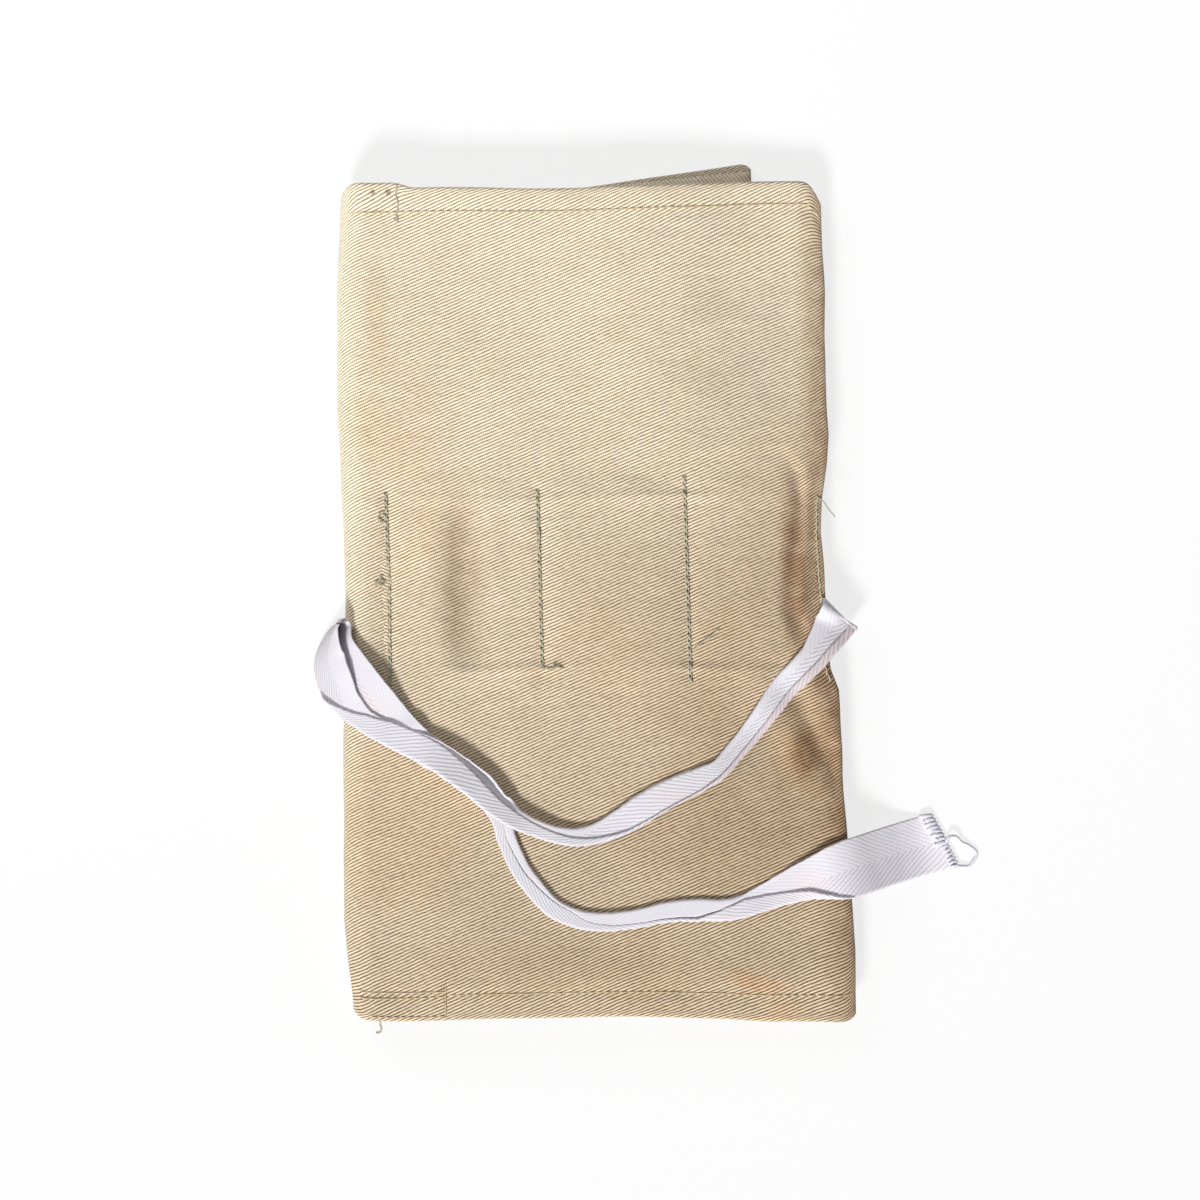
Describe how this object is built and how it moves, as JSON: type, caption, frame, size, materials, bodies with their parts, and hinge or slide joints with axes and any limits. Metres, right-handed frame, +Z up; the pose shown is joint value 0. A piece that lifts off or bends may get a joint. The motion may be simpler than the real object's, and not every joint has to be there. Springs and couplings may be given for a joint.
{
  "type": "folding canvas holdall",
  "caption": "Fold-up cotton canvas holdall for cutlery or shaving things, with loops and a pocket inside, soft folds that open flat and a loose cotton tie tape.",
  "frame": {"origin": "middle of the folded bundle's underside, on the table, without the tape", "axes": "+X to the right fold, +Y along the folds to the top hem, +Z up out of the front face"},
  "size_m": [0.2136, 0.2809, 0.0219],
  "materials": {
    "canvas": "matt heavy cotton drill",
    "canvas_inside": "matt heavy cotton drill, reverse side",
    "thread": "matt waxed thread",
    "tape": "matt cotton herringbone tape"
  },
  "bodies": {
    "pocket_panel": {"pocket_back": "canvas", "pocket_front": "canvas_inside", "pocket_top_seam": "canvas_inside", "pocket_bottom_seam": "canvas_inside", "pocket_back_end_hem": "canvas_inside", "pocket_front_end_hem": "canvas_inside", "pocket_mouth_hem": "canvas_inside", "left_fold_lower": "canvas", "pocket_top_stitching": "thread", "pocket_bottom_stitching": "thread", "pocket_end_stitching": "thread", "pocket_mouth_stitching": "thread", "tape_tack": "thread", "tape_sewn_end": "tape", "tape_wrap": "tape", "tape_upper_strand": "tape", "tape_turn": "tape", "tape_lower_strand": "tape", "tape_free_end": "tape", "tape_overcasting": "tape", "tape_thread_loop": "tape"},
    "centre_panel": {"centre_panel": "canvas", "left_fold_upper": "canvas", "right_fold_upper": "canvas", "centre_top_hem": "canvas_inside", "centre_bottom_hem": "canvas_inside", "loop_left": "canvas_inside", "loop_middle": "canvas_inside", "loop_right": "canvas_inside", "loop_stitching_1": "thread", "loop_stitching_2": "thread", "loop_stitching_3": "thread", "loop_stitching_4": "thread", "top_hem_stitching": "thread", "bottom_hem_stitching": "thread", "corner_tack_top": "thread", "corner_tack_bottom": "thread", "hem_thread_tail": "thread"},
    "cover_flap": {"cover_flap": "canvas", "right_fold_lower": "canvas", "cover_top_hem": "canvas_inside", "cover_bottom_hem": "canvas_inside", "cover_end_hem": "canvas_inside", "cover_top_stitching": "thread", "cover_bottom_stitching": "thread", "cover_end_stitching": "thread"}
  },
  "joints": [
    {"name": "centre_fold", "type": "hinge", "parent": "pocket_panel", "child": "centre_panel", "pos_m": [-0.0819, 0, 0.0086], "axis": [0.0154, -0.9999, 0], "range_deg": [0, 180], "deforming": ["tape_wrap", "tape_upper_strand", "tape_turn", "tape_lower_strand", "tape_free_end", "tape_overcasting", "tape_thread_loop"]},
    {"name": "cover_fold", "type": "hinge", "parent": "centre_panel", "child": "cover_flap", "pos_m": [0.0798, 0, 0.01222], "axis": [0.03, -0.9995, 0], "range_deg": [0, 180]}
  ],
  "couplings": [
    {"joint": "cover_fold", "follows": "centre_fold", "ratio": 1}
  ]
}
